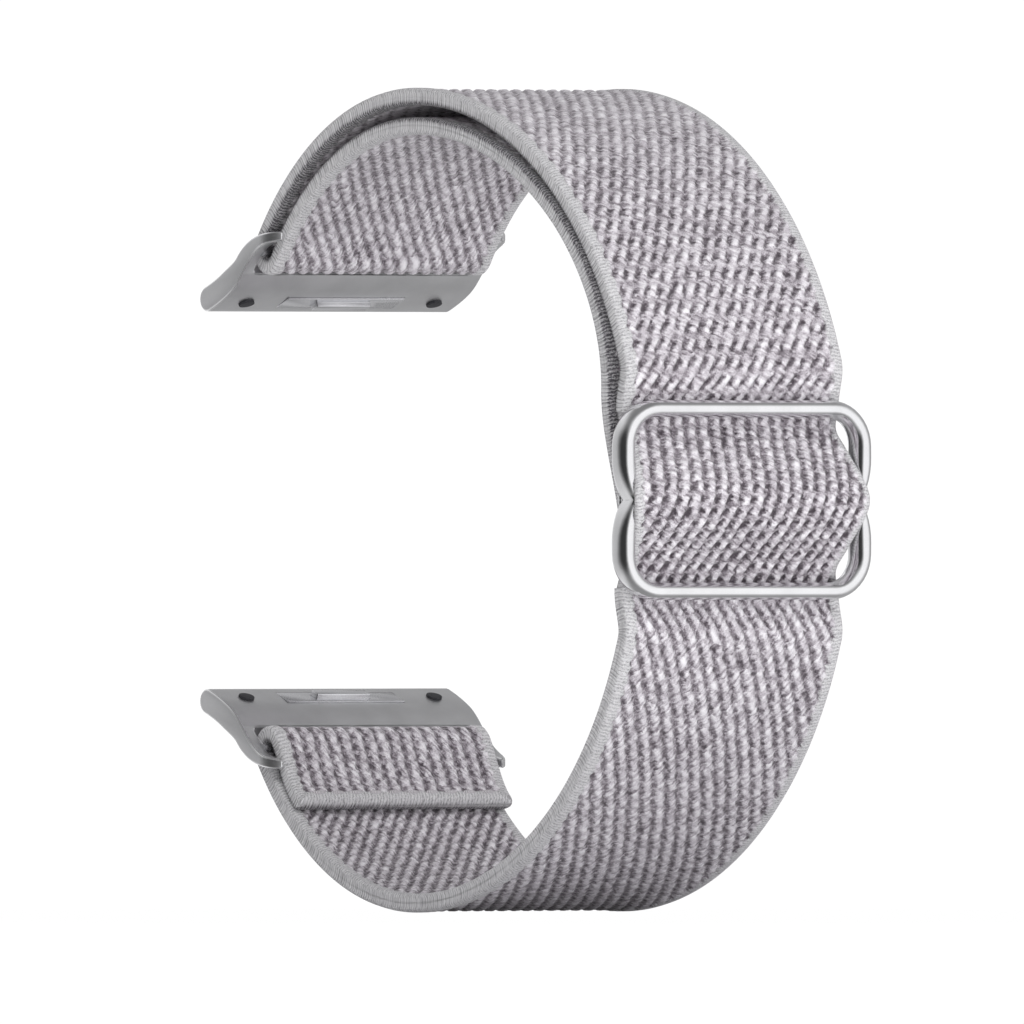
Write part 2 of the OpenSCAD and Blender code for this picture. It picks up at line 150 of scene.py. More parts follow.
# %% A set of nodes
class Nodes:
    """The nodes of a material or a room, and the calls that add more."""

    def __init__(self, tree):
        self.tree = tree

    def node(self, kind, settings=None, **values):
        node = self.tree.nodes.new(kind)
        for place, value in (settings or {}).items():
            setattr(node, place, value)
        for place, value in values.items():
            self.link(value, node.inputs[place.replace("_", " ")])
        return node

    def link(self, value, place):
        if isinstance(value, Num):
            value = value.socket
        if isinstance(value, bpy.types.NodeSocket):
            self.tree.links.new(value, place)
        else:
            place.default_value = value

    def parts(self, vector):
        node = self.node("ShaderNodeSeparateXYZ", Vector=vector)
        return [Num(self.tree, socket) for socket in node.outputs]

    def vector(self, x, y, z=0.0):
        return self.node("ShaderNodeCombineXYZ", X=x, Y=y, Z=z).outputs[0]

    def mix(self, share, first, second):
        node = self.node("ShaderNodeMixShader")
        for value, place in zip((share, first, second), node.inputs):
            self.link(value, place)
        return node.outputs[0]


# %% A material
class Finish(Nodes):
    """A material with one shader, and the calls that draw on it."""

    def __init__(self, name, colour, **settings):
        self.material = bpy.data.materials.new(name)
        self.material.use_nodes = True
        super().__init__(self.material.node_tree)
        self.shader = self.tree.nodes["Principled BSDF"]
        self.material.diffuse_color = (*colour, 1)
        self.shader.inputs["Base Color"].default_value = (*colour, 1)
        for place, value in settings.items():
            self.shader.inputs[place.replace("_", " ")].default_value = value

    def attribute(self, name):
        return self.parts(self.node("ShaderNodeAttribute", {"attribute_name": name}).outputs["Vector"])

    def object_place(self):
        """Object coordinates in millimetres."""
        at = self.node("ShaderNodeTexCoord")
        scaled = self.node("ShaderNodeVectorMath", {"operation": "SCALE"}, Scale=1000.0)
        self.tree.links.new(at.outputs["Object"], scaled.inputs[0])
        return scaled.outputs[0]

    def noise(self, vector, scale, detail=2.0, roughness=0.5):
        node = self.node("ShaderNodeTexNoise", None, Vector=vector, Scale=scale, Detail=detail,
                         Roughness=roughness)
        return Num(self.tree, node.outputs[0])

    def cell(self, vector):
        node = self.node("ShaderNodeTexWhiteNoise", {"noise_dimensions": "3D"}, Vector=vector)
        return Num(self.tree, node.outputs["Value"])

    def colours(self, share, *stops):
        node = self.node("ShaderNodeValToRGB")
        elements = node.color_ramp.elements
        while len(elements) < len(stops):
            elements.new(0.5)
        for element, (place, colour) in zip(elements, stops):
            element.position = place
            element.color = (*colour, 1)
        self.link(share, node.inputs[0])
        return node.outputs[0]

    def blend(self, share, first, second):
        node = self.node("ShaderNodeMix", {"data_type": "RGBA"})
        for value, place in ((share, 0), (first, 6), (second, 7)):
            self.link(value, node.inputs[place])
        return node.outputs[2]

    def bump(self, height, distance, strength=0.8):
        node = self.node("ShaderNodeBump", None, Height=height, Distance=distance, Strength=strength)
        self.tree.links.new(node.outputs[0], self.shader.inputs["Normal"])

    def varies(self, place, value):
        self.link(value, self.shader.inputs[place])


# %% [markdown]
# ## Light
# Metal shows what stands round it, so in a plain white room the buckle would look like paper. The
# camera sees a white room. Everything else sees a broad bright band round the horizon, with a dark
# gap on one side, a grey one on the other, a dimmer stretch behind, and darkness overhead and
# underfoot. These draw the dark lines along the steel. Three large soft lights, which the metal
# doesn't mirror, give the tape its shape.

# %% Room
scene = bpy.context.scene
scene.view_settings.view_transform = "Standard"
scene.view_settings.look = "None"
world = bpy.data.worlds.new("studio")
world.use_nodes = True
world.node_tree.nodes.clear()
scene.world = world
room = Nodes(world.node_tree)

look_x, look_y, look_z = room.parts(room.node("ShaderNodeTexCoord").outputs["Generated"])


def horizon(x, y, low, high):
    """1 where a ray looks along (x, y) and 0 well beside it."""
    return ease(look_x * x + look_y * y, low, high)


# Each shade of the room: where it lies, and how much of the light it takes.
dark_gap = (horizon(0.966, 0.259, 0.20, 0.95), 0.96)
grey_gap = (horizon(-0.94, -0.34, 0.25, 0.90), 0.62)
dim_back = (horizon(0.555, -0.832, 0.60, 0.98), 0.45)
overhead = (ease(look_z, 0.50, 0.96), 0.78)
underfoot = (ease(-look_z, 0.50, 0.96), 0.72)
level = 1.0
for where, taken in (dark_gap, grey_gap, dim_back, overhead, underfoot):
    level = level * (1.0 - where * taken)
room_colour = room.vector(level, level, level * 1.01)
soft_room = room.node("ShaderNodeBackground", Color=room_colour, Strength=1.12)
white_room = room.node("ShaderNodeBackground", Color=(1, 1, 1, 1), Strength=1.05)
seen = room.node("ShaderNodeLightPath").outputs["Is Camera Ray"]
mixed = room.mix(seen, soft_room.outputs[0], white_room.outputs[0])
room.node("ShaderNodeOutputWorld", Surface=mixed)
print("room of", len(world.node_tree.nodes), "nodes")


# %% Soft lights
def soft_light(name, place, power, size):
    """A square soft light at a place in mm, turned to the middle of the strap."""
    data = bpy.data.lights.new(name, "AREA")
    data.energy, data.size = power, size
    light = bpy.data.objects.new(name, data)
    scene.collection.objects.link(light)
    light.location = Vector(place) * MM
    to_strap = AIM - light.location
    light.rotation_mode = "QUATERNION"
    light.rotation_quaternion = to_strap.to_track_quat("-Z", "Y")
    light.visible_glossy = False


soft_light("key_light", (650, 500, 750), 2.85, 0.5)
soft_light("front_light", (-350, 900, 40), 0.9, 0.45)
soft_light("low_light", (500, 830, -160), 4.0, 0.45)
print(len(bpy.data.lights), "soft lights")

# %% [markdown]
# ## Floor
# The strap stands on a small round table, just under its lowest point. Where the camera sees it, the
# table is as white as the room. For the light it is a plain pale grey, which brightens the strap from
# below, and the metal doesn't mirror it.

# %% Floor
FLOOR_Z, FLOOR_R = -38.6, 90.0
bpy.ops.object.select_all(action="DESELECT")
bpy.ops.mesh.primitive_circle_add(vertices=96, radius=FLOOR_R * MM, fill_type="NGON",
                                  location=(0, SEAT_TO_MIDDLE * MM, FLOOR_Z * MM))
floor_piece = bpy.context.object
floor_piece.name = "table_top"
floor_look = bpy.data.materials.new("pale_table")
floor_look.use_nodes = True
floor_look.node_tree.nodes.clear()
table = Nodes(floor_look.node_tree)
table_glow = table.node("ShaderNodeEmission", Color=(1, 1, 1, 1), Strength=1.0)
table_cloth = table.node("ShaderNodeBsdfDiffuse", Color=(0.86, 0.86, 0.87, 1))
table_seen = table.node("ShaderNodeLightPath").outputs["Is Camera Ray"]
table_mix = table.mix(table_seen, table_cloth.outputs[0], table_glow.outputs[0])
table.node("ShaderNodeOutputMaterial", Surface=table_mix)
floor_piece.data.materials.append(floor_look)
floor_piece.visible_glossy = False
print(floor_piece.name, "at", FLOOR_Z, "mm")

# %% [markdown]
# ## The tape's weave
# The tape is knitted: slanting rows of long beads with a hole between each two, and an edge that is
# whipped with fine thread. The formula below is used twice. Its big forms move the mesh, so that the
# ribs are real, and in the material it draws every bead and fibre, with painted shade in the holes and
# grooves. Cosines of whole numbers stand in for chance: each rib and each bead is shifted a little in
# its own way.

# %% Height of the weave
TURN = 2 * math.pi
RIB_PITCH = 1.37
BEAD_LEAN, BEAD_SHIFT, BEAD_SWAY = -0.06, 0.10, 0.05
EDGE_WIDTH, EDGE_STEP = 1.1, 0.14
STITCH_PITCH = 0.34


def bead_height(rib, row, bridge):
    """Height of the knit, 0 in a hole and 1 on a bead. bridge fills the groove between two ribs."""
    column = floor(rib + 0.5)
    row = row + cosine(column * 2.4) * BEAD_SHIFT
    bead = floor(row + 0.5)
    along = row - bead
    across = rib + along * BEAD_LEAN + cosine(column * 1.7 + bead * 2.9) * BEAD_SWAY
    ridge = ease(cosine(across * TURN) * 0.5 + 0.5, -0.05, 0.80)
    swell = cosine(along * TURN) * 0.5 + 0.5
    return ridge * (swell * 0.30 + 0.70) + (1.0 - ridge) * (1.0 - swell) * bridge


def edge_share(to_edge, row):
    """1 in the whipped edge and 0 in the knit, with a border that steps in and out."""
    step = cosine(row * TURN) * EDGE_STEP
    return 1.0 - ease(to_edge + step, EDGE_WIDTH - 0.20, EDGE_WIDTH + 0.12)


# %% [markdown]
# The material reads four attributes of the mesh. `weave` counts ribs and rows and gives the distance to
# the edge, `cloth` is the place on the flat tape in millimetres, and `pull` says how far the knit is
# pulled open there, how well its grooves are bridged, and how its fibres slope. The fourth is 1 where
# the edge lies against the layer below and hardly any light gets in, and there the edge's colour is
# darkened as painted shade. Because they belong to the tape, the pattern stretches with it when the
# buckle slides.

# %% Tape material
tape = Finish("ribbed_nylon", (0.60, 0.56, 0.60), Roughness=0.78, Sheen_Weight=0.25,
              Sheen_Roughness=0.5, Specular_IOR_Level=0.25)
rib, row, to_edge = tape.attribute("weave")
cloth_x, cloth_s, stitch_s = tape.attribute("cloth")
open_share, bridge, stroke_slope = tape.attribute("pull")
covered, _, _ = tape.attribute("covered")
cloth = tape.vector(cloth_x, cloth_s)

# Slow, middling and quick unevenness moves the ribs and rows.
drift = tape.noise(cloth, 0.30) - 0.5
wobble = tape.noise(cloth, 1.1) - 0.5
ragged = tape.noise(cloth, 3.6) - 0.5
rib = rib + drift * 0.20 + wobble * 0.44 + ragged * 0.38
row = row + drift * 0.60 + wobble * 0.70 + ragged * 0.30
knit = 1.0 - (1.0 - bead_height(rib, row, bridge)) * open_share
bead_tone = tape.cell(tape.vector(floor(rib + 0.5), floor(row + 0.5)))

# The fibres of a bead slope across its rib, and loose ones lie every way.
from_rib = rib - floor(rib + 0.5)
stroke_s = cloth_s + from_rib * stroke_slope * RIB_PITCH + bead_tone * 0.7
stroke = tape.noise(tape.vector(stroke_s * 3.0, cloth_x * 0.8 + bead_tone * 5.0), 1.0, 1.0)
speckle = tape.noise(tape.vector(cloth_x * 1.6 + cloth_s, cloth_s * 1.6 - cloth_x), 4.2, 3.0, 0.7)
fibre = (stroke - 0.5) * 1.5 + (speckle - 0.5) * 1.1

# The edge's thread runs round it in close turns.
edge = edge_share(to_edge + ragged * 0.6, row)
whip_at = stitch_s / STITCH_PITCH + to_edge * 0.5 + wobble * 1.2 + ragged * 1.3
whip = cosine(whip_at * TURN) * 0.5 + 0.5
# Painted shade: the edge's colour is darker where it lies against the layer below.
whip = whip * 0.40 + (speckle - 0.5) * 1.7 + 0.38 - covered * 0.52

# The knit's colour is painted shade in the holes and grooves, where the knit is low, with the fibres'
# and beads' own tones on top.
knit_tone_and_hole_shade = knit * 0.74 + fibre * 0.86 + (bead_tone - 0.5) * 0.14 + drift * 0.16 + 0.04
knit_colour_and_hole_shade = tape.colours(knit_tone_and_hole_shade, (0.06, (0.085, 0.070, 0.083)), (0.34, (0.27, 0.240, 0.268)),
                           (0.62, (0.60, 0.560, 0.605)), (0.96, (0.94, 0.915, 0.950)))
edge_colour = tape.colours(whip, (0.0, (0.075, 0.07, 0.08)), (0.07, (0.23, 0.22, 0.235)),
                           (0.5, (0.66, 0.65, 0.67)), (0.95, (0.93, 0.925, 0.935)))
tape.varies("Base Color", tape.blend(edge, knit_colour_and_hole_shade, edge_colour))
tape_height = knit * (1.0 - edge) + edge * (whip * 0.30 + 0.75) + fibre * 0.30
tape.bump(tape_height, 0.22 * MM, 0.9)
print("tape material of", len(tape.tree.nodes), "nodes")

# %% [markdown]
# ## The tape's route
# Seen from the side, the tape turns round the upper adapter's bar, goes over the top to the buckle,
# rises over the buckle's centre bar, and ends round the lower adapter's bar. A second layer comes
# back from the upper bar to the centre bar, to which it is sewn. These are the CAD model's own
# curves, in millimetres from the middle of the loop.

# %% Sizes of the route
LOOP_R = 38.1
TAPE_W, TAPE_T, SEWN_T = 24.0, 1.5, 1.2
BAR = np.array([-24.35, 23.2])
BAR_R = 0.5
WEB_CLEAR = 0.1
TURN_OUT = BAR_R + WEB_CLEAR + TAPE_T
TURN_MID = TURN_OUT - TAPE_T / 2
FRAME_BACK, FRAME_DEPTH = 35.8, 2.5
FRAME_W, FRAME_H, FRAME_BAR = 28.0, 18.4, 1.6
WINDOW_W, WAIST_NOTCH, WAIST_R, FRAME_CORNER = 24.5, 1.25, 7.0, 4.2
CENTRE_BAR = np.array([36.2, 0.0])
CENTRE_BAR_R = 0.8
BAR_MID = (FRAME_H - FRAME_BAR) / 2
PASS_END = 20.0
HOLD = 0.3
DIP_Y = FRAME_BACK - 0.5
SEWN_MID = CENTRE_BAR_R + 0.05 + SEWN_T / 2
HUMP_Y = CENTRE_BAR[0] + SEWN_MID + SEWN_T / 2 + WEB_CLEAR + TAPE_T
INNER_TOP = LOOP_R - 2 * TAPE_T - 1.1
print("loop of", 2 * LOOP_R, "mm, tape of", TAPE_W, "x", TAPE_T, "mm")


# %% Lines and arcs
def toward(degrees):
    return np.array([math.cos(math.radians(degrees)), math.sin(math.radians(degrees))])


def touching_arc(top, r):
    """Height of the middle of an arc that touches the loop's top and the turn round the bar."""
    return ((top - r) ** 2 - BAR @ BAR) / (2 * (top - r - BAR[1]))


def bar_angle(centre):
    return math.degrees(math.atan2(BAR[1] - centre, BAR[0]))


SIDE_Z = touching_arc(LOOP_R, TURN_OUT)
INNER_Z = touching_arc(INNER_TOP, -TURN_OUT)
SIDE_END, INNER_END = bar_angle(SIDE_Z), bar_angle(INNER_Z)


def arc(centre, r, start, end, step=0.5, count=None):
    count = count or max(8, int(abs(end - start) / step))
    angles = np.radians(np.linspace(start, end, count))
    return np.asarray(centre) + r * np.stack([np.cos(angles), np.sin(angles)], 1)


def bezier(*points, count=120):
    k = np.linspace(0, 1, count)[:, None]
    shares = ((1 - k) ** 3, 3 * k * (1 - k) ** 2, 3 * k * k * (1 - k), k ** 3)
    return sum(share * np.asarray(point, float) for share, point in zip(shares, points))


def even_steps(points, step, *values):
    """Points at even steps along a line of points, the length to each, and the values there."""
    gaps = np.linalg.norm(np.diff(points, axis=0), axis=1)
    keep = np.concatenate([[True], gaps > 1e-6])
    points = points[keep]
    length = np.concatenate([[0], np.cumsum(np.linalg.norm(np.diff(points, axis=0), axis=1))])
    at = np.linspace(0, length[-1], int(length[-1] / step) + 1)
    even = np.stack([np.interp(at, length, points[:, i]) for i in (0, 1)], 1)
    return even, at, [np.interp(at, length, np.asarray(value)[keep]) for value in values]


def left_of_line(points):
    direction = np.gradient(points, axis=0)
    direction /= np.linalg.norm(direction, axis=1)[:, None]
    return np.stack([-direction[:, 1], direction[:, 0]], 1)


# %% Outer layer and hump
HIDDEN_SEAM = 210.0
pass_out = LOOP_R * toward(PASS_END)
pass_in = pass_out + 1.7 * toward(PASS_END - 90)
outer_route = np.concatenate([
    arc(BAR, TURN_OUT, HIDDEN_SEAM, SIDE_END),
    arc((0, SIDE_Z), LOOP_R - SIDE_Z, SIDE_END, 90),
    arc((0, 0), LOOP_R, 90, PASS_END),
    bezier(pass_out, pass_in, (DIP_Y, BAR_MID + 1.7), (DIP_Y, BAR_MID)),
    [(DIP_Y, BAR_MID - HOLD)]])
hump_z = np.linspace(BAR_MID + HOLD, -BAR_MID - HOLD, 400)
hump_share = np.where(np.abs(hump_z) < BAR_MID, (1 + np.cos(np.pi * hump_z / BAR_MID)) / 2, 0)
hump_route = np.stack([DIP_Y + (HUMP_Y - DIP_Y) * hump_share, hump_z], 1)
print("outer route of", len(outer_route), "points, hump of", len(hump_route))

# %% Inner layer, which ends in a turn round the centre bar
hand_over = np.array([CENTRE_BAR[0] - 3.85, BAR_MID + 1.8])
hand_dir = toward(-91.5)
bar_side = toward(105)
round_bar = arc(CENTRE_BAR, SEWN_MID, 195, 375)
sewn_tip = CENTRE_BAR + (-1.4, 3.9)
sewn_tip_dir = toward(128)
inner_top = np.array([0, INNER_TOP + TAPE_T / 2])
sewn_down = bezier(hand_over, hand_over + 3.4 * hand_dir, round_bar[0] + 3.4 * bar_side, round_bar[0])
sewn_up = bezier(round_bar[-1], round_bar[-1] + 1.1 * bar_side, sewn_tip - 1.5 * sewn_tip_dir, sewn_tip)
inner_part = np.concatenate([
    arc(BAR, TURN_MID, HIDDEN_SEAM, INNER_END + 180),
    arc((0, INNER_Z), INNER_TOP - INNER_Z + TAPE_T / 2, INNER_END, 90),
    bezier(inner_top, inner_top + (18.5, 0), hand_over - 11.3 * hand_dir, hand_over)])
inner_route = np.concatenate([inner_part, sewn_down, round_bar, sewn_up])
inner_t = np.concatenate([
    np.full(len(inner_part), TAPE_T),
    TAPE_T + (SEWN_T - TAPE_T) * ease(np.linspace(0, 1, len(sewn_down)), 0.0, 0.875),
    np.full(len(round_bar) + len(sewn_up), SEWN_T)])
print("inner route of", len(inner_route), "points")

# %% Fold round the lower adapter's bar
FOLD_L, FOLD_GAP = 7.4, 0.2
fold_from = LOOP_R - SIDE_Z - TURN_OUT - TURN_MID
fold_to = LOOP_R - SIDE_Z - 1.5 * TAPE_T - FOLD_GAP
fold_k = np.linspace(0, 1, 120)
fold_r = fold_from + (fold_to - fold_from) * ease(1.15 * fold_k, 0.0, 1.0)
fold_a = np.radians(SIDE_END - math.degrees(FOLD_L / fold_to) * fold_k)
fold_route = np.concatenate([
    arc(BAR, TURN_MID, HIDDEN_SEAM, SIDE_END + 180),
    np.stack([fold_r * np.cos(fold_a), SIDE_Z + fold_r * np.sin(fold_a)], 1)])
print("fold route of", len(fold_route), "points")

# %% [markdown]
# ## Modelling the tape
# A flat strap is modelled directly: a closed section is carried along the route, with a fine grid
# on the faces that show. The height of the weave then pushes the grid in and out. The ribs slant
# across the tape by about thirty degrees, as the photograph shows on both faces.

# %% The tape's section
ROUND, SWELL = 0.45, 0.13
END_ROUND, NO_END = 0.55, 99.0

# How one face of a tape is knitted: the slant of its ribs, the pitch of its rows, its grid and its
# relief, its values for `pull`, and how much narrower its edge is.
Face = namedtuple("Face", "slant row_pitch cells relief pull trim",
                  defaults=((0.6, 0.5, 0.6), 0.0))


def section(face, back):
    """The closed section as columns: part, share across, which face, and angle round a corner."""
    columns = []
    for sign, kind in ((1, face), (-1, back)):
        for i in range(kind.cells + 1):
            columns.append(("flat", sign * (1 - 2 * i / kind.cells), sign, 0))
        columns += [("round", -sign, sign, angle) for angle in (30, 60)]
        columns += [("side", -sign, sign * level, 90) for level in (1, 0.33, -0.33, -1)]
        columns += [("round", -sign, -sign, angle) for angle in (60, 30)]
    return columns


def column_place(part, across, level, angle, half_t, half_w):
    """A column's x, its height in the tape, its distance from the edge, and the way out."""
    flat_half = half_w - ROUND
    if part == "flat":
        return across * flat_half, level * half_t, half_w - abs(across) * flat_half, (0, level)
    if part == "side":
        return across * half_w, level * (half_t - ROUND), np.full_like(half_w, -0.3), (across, 0)
    turn = math.radians(angle)
    x = across * (flat_half + ROUND * math.sin(turn))
    height = level * (half_t - ROUND + ROUND * math.cos(turn))
    away = np.full_like(half_w, ROUND * (1 - angle / 90))
    return x, height, away, (across * math.sin(turn), level * math.cos(turn))


def column_push(part, kind, ribs, rows, edge_near):
    """How far the weave, or the swollen edge, pushes a column out."""
    if not kind.relief or part == "side":
        return np.zeros_like(rows)
    if part == "round":
        return np.full_like(rows, SWELL)
    open_share, bridge, _ = kind.pull
    border = edge_share(edge_near, rows)
    knit_push = kind.relief * (bead_height(ribs, rows, bridge) - 0.80) * open_share ** 0.5
    return knit_push * (1 - border) + SWELL * border


# %% Carry the section along a route
def tape_piece(name, middle, outward, half_t, half_w, length, face, back, crown=0.0,
               end_edge=False):
    """A tape whose face side looks along outward, as a mesh with what its material reads."""
    columns = section(face, back)
    n, m = len(middle), len(columns)
    half_t, half_w = np.full(n, half_t), np.full(n, half_w)
    place, weave, cloth, pull, covered = (np.zeros((n, m, 3)) for _ in range(5))
    tip, to_end = np.ones(n), np.full(n, NO_END)
    if end_edge:
        to_end = length[-1] - length
        tip = np.sqrt(1 - np.clip(1 - to_end / END_ROUND, 0, 1) ** 2 * 0.93)
    for j, (part, across, level, angle) in enumerate(columns):
        x, height, away, out = column_place(part, across, level, angle, half_t, half_w)
        kind = face if level > 0 else back
        ribs = (x - np.cumsum(kind.slant * np.gradient(length))) / RIB_PITCH
        rows = length / kind.row_pitch
        edge_near = np.minimum(away, to_end) + kind.trim
        push = column_push(part, kind, ribs, rows, edge_near)
        place[:, j, 0] = x + out[0] * push
        place[:, j, 1:] = middle + outward * (height * tip + out[1] * push)[:, None]
        weave[:, j] = np.stack([ribs, rows, edge_near], 1)
        cloth[:, j] = np.stack([x, length, np.where(to_end < away, x, length)], 1)
        for channel, value in enumerate(kind.pull):
            pull[:, j, channel] = value
        # Painted shade: where the back lies against the layer below, its corners and lower side are
        # marked to darken the edge's colour.
        if not back.relief and level < 0:
            covered[:, j, 0] = {"flat": 1, "round": 1, "side": 0.4 * (level == -1)}[part]
    place[:, :, 1] += crown + SEAT_TO_MIDDLE
    return mesh_piece(name, place, weave=weave, cloth=cloth, pull=pull, covered=covered)


# %% Select, edit and copy
def only(*pieces):
    """Selects these objects and no others."""
    if bpy.context.object and bpy.context.object.mode != "OBJECT":
        bpy.ops.object.mode_set(mode="OBJECT")
    bpy.ops.object.select_all(action="DESELECT")
    for piece in pieces:
        piece.select_set(True)
    bpy.context.view_layer.objects.active = pieces[0]


def edit(piece):
    """Goes into a piece's edit mode, with everything selected."""
    only(piece)
    bpy.ops.object.mode_set(mode="EDIT")
    bpy.ops.mesh.select_all(action="SELECT")


def close_solid():
    """Turns all faces outwards and leaves edit mode."""
    bpy.ops.mesh.select_all(action="SELECT")
    bpy.ops.mesh.normals_make_consistent(inside=False)
    bpy.ops.object.mode_set(mode="OBJECT")


def copied(piece, name):
    """A copy of a piece, with its own mesh."""
    copy = piece.copy()
    copy.data = piece.data.copy()
    copy.name = name
    scene.collection.objects.link(copy)
    return copy


# %% A mesh from a grid of points
def mesh_piece(name, place, **attributes):
    """A closed tape from its grid of points in mm, with its faces turned outwards."""
    n, m = place.shape[:2]
    index = np.arange(n * m).reshape(n, m)
    right = np.roll(index, -1, 1)
    quads = np.stack([index[:-1], right[:-1], right[1:], index[1:]], 2).reshape(-1, 4)
    caps = [index[0].tolist()[::-1], index[-1].tolist()]
    points = place.reshape(-1, 3) * MM
    a, b, c, d = (points[quads[:, i]] - points.mean(0) for i in range(4))
    if np.einsum("ij,ij->i", a, np.cross(b, c) + np.cross(c, d)).sum() < 0:
        quads = quads[:, ::-1]
        caps = [cap[::-1] for cap in caps]
    mesh = bpy.data.meshes.new(name)
    mesh.from_pydata(points.tolist(), [], quads.tolist() + caps)
    for attribute, values in attributes.items():
        layer = mesh.attributes.new(attribute, "FLOAT_VECTOR", "POINT")
        layer.data.foreach_set("vector", values.reshape(-1, 3).astype(np.float32).ravel())
    mesh.update()
    piece = bpy.data.objects.new(name, mesh)
    scene.collection.objects.link(piece)
    only(piece)
    bpy.ops.object.shade_smooth_by_angle(angle=math.radians(70))
    piece.data.materials.append(tape.material)
    print(name, len(mesh.polygons), "faces")
    return piece


def flipped(points):
    """The lower half's route points from the upper half's."""
    return points * np.array([1, -1])


# %% [markdown]
# The outer layer's two halves follow the same route, one of them upside down, and differ in their
# knit: above the buckle the tape is pulled less, and its beads are longer. The fold and the inner
# layer end in a whipped edge, so their last millimetre is edge too. A face that no one sees is plain.

# %% The four lengths of tape
HALF_T, HALF_W = TAPE_T / 2, TAPE_W / 2
HIDDEN = Face(0.5, 1.4, 24, 0.0)
upper, upper_s, _ = even_steps(outer_route, 0.19)
upper_out = left_of_line(upper)
down_front = ease(upper[:, 0] / LOOP_R, 0.30, 0.80)
upper_pull = (0.48 + 0.44 * down_front, 0.10 + 0.45 * down_front, 0.4)
outer_upper = tape_piece("outer_layer_upper", upper - upper_out * HALF_T, upper_out, HALF_T, HALF_W,
                         upper_s, Face(0.547, 1.86, 132, 0.30, upper_pull), HIDDEN)

lower, lower_s, _ = even_steps(outer_route, 0.23)
lower_out = left_of_line(lower)
lower_face = Face(0.47, 1.25, 124, 0.28, (0.80, 0.30, 0.8))
wrist_face = Face(0.74, 1.2, 124, 0.28, (0.86, 0.3, 0.9))
outer_lower = tape_piece("outer_layer_lower", flipped(lower - lower_out * HALF_T), flipped(lower_out),
                         HALF_T, HALF_W, lower_s, lower_face, wrist_face)

fold, fold_s, _ = even_steps(fold_route, 0.16)
fold_face = Face(0.05, 0.95, 132, 0.26, (0.85, 0.35, 1.2))
fold_flap = tape_piece("fold_flap", flipped(fold), flipped(-left_of_line(fold)), HALF_T, HALF_W - 0.1,
                       fold_s, fold_face, HIDDEN, end_edge=True)

inner, inner_s, (inner_t,) = even_steps(inner_route, 0.2, inner_t)
inner_face = Face(0.67, 1.4, 132, 0.28, (0.66, 0.12, 1.0))
inner_layer = tape_piece("inner_layer_tape", inner, -left_of_line(inner), inner_t / 2, HALF_W,
                         inner_s, inner_face, HIDDEN, end_edge=True)

# %% [markdown]
# Over the centre bar the tape bulges. It is narrow where it slips under the frame's bars and widest
# in the middle. Its edges droop, but their underside stays clear of the frame's waist. The lower half
# of its knit is pulled open.

# %% The tape over the centre bar
WIDER, WIDER_REACH = 0.95, 5.0
NARROWER, NARROW_AT, NARROW_REACH = 0.55, 6.5, 1.3
EDGE_DROOP, WAIST_LIFT, WAIST_REACH = 0.75, 0.65, 3.0
hump, hump_s, _ = even_steps(hump_route, 0.13)
hump_out = left_of_line(hump)
hump_at = hump[:, 1]
hump_half = HALF_W + WIDER * ease(1 - np.abs(hump_at) / WIDER_REACH, 0.0, 1.0)
hump_half -= NARROWER * np.exp(-((np.abs(hump_at) - NARROW_AT) / NARROW_REACH) ** 2)
loosened = ease(-hump_at, -3.2, 0.4)
hump_pull = (0.78 + 0.36 * loosened, 0.15 + 0.40 * loosened, 0.5)
hump_face = Face(0.25, 1.25, 168, 0.34, hump_pull, trim=0.4)

columns = section(hump_face, HIDDEN)
edgeward = np.array([abs(across) for _, across, _, _ in columns]) ** 4
underside = np.array([(1 - level) / 2 for _, _, level, _ in columns])
droop = EDGE_DROOP * ease(1 - np.abs(hump_at) / BAR_MID, 0.0, 0.9)[:, None]
lift = WAIST_LIFT * ease(1 - np.abs(hump_at) / WAIST_REACH, 0.0, 1.0)[:, None]
crown = (lift * underside - droop) * edgeward
buckle_hump = tape_piece("buckle_hump_tape", hump - hump_out * HALF_T, hump_out, HALF_T, hump_half,
                         hump_s, hump_face, HIDDEN, crown=crown)

# %% [markdown]
# The tape's ends belong to the loop and to the buckle, and between them it stretches. Each length takes
# the place of the CAD model's tape: the fold goes with the webbing and the tape over the centre bar
# with the buckle, while the lengths that reach from one to the other stay where they are.

# %% The tape in place of the CAD model's tape
ZONE_START, INNER_ZONE_START = 65, (0, 34)


def in_frame(y, z):
    """A place of the side view, in mm from the loop's middle, as a place in the frame."""
    return Vector((0, SEAT_TO_MIDDLE + y, z)) * MM


zone_start, zone_end = ((LOOP_R - HALF_T) * toward(angle) for angle in (ZONE_START, PASS_END))
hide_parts("upper_run", "upper_slide_zone")
in_frame(*zone_start)
in_frame(*zone_end)
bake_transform(outer_upper)
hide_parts("lower_run", "lower_slide_zone")
in_frame(*flipped(zone_start))
in_frame(*flipped(zone_end))
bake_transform(outer_lower)
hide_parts("lower_fold")
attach(fold_flap, "webbing")
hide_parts("inner_layer", "sewn_end")
in_frame(*INNER_ZONE_START)
in_frame(*hand_over)
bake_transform(inner_layer)
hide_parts("buckle_pass")
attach(buckle_hump, "buckle")

# %% Flat sizes of the tape
for piece, lengths, held, rests_on in (
        (outer_upper, upper_s, "stretched", ["upper_adapter", "buckle_frame"]),
        (outer_lower, lower_s, "stretched", ["lower_adapter", "buckle_frame"]),
        (fold_flap, fold_s, "folded", ["lower_adapter", "outer_layer_lower"]),
        (inner_layer, inner_s, "stretched", ["upper_adapter", "buckle_centre_bar"]),
        (buckle_hump, hump_s, "stretched", ["inner_layer_tape"])):
    print(piece.name, "is", round(lengths[-1], 1), "mm long when flat")

# %% [markdown]
# ## Metal finishes
# The buckle is steel, tumbled until it shines. The adapters are blasted with glass beads, which
# leaves an even satin, and their edges are then cut bright. Both are a metal shader: the roughness
# wanders a little, and a fine grain in the bump breaks the reflections.

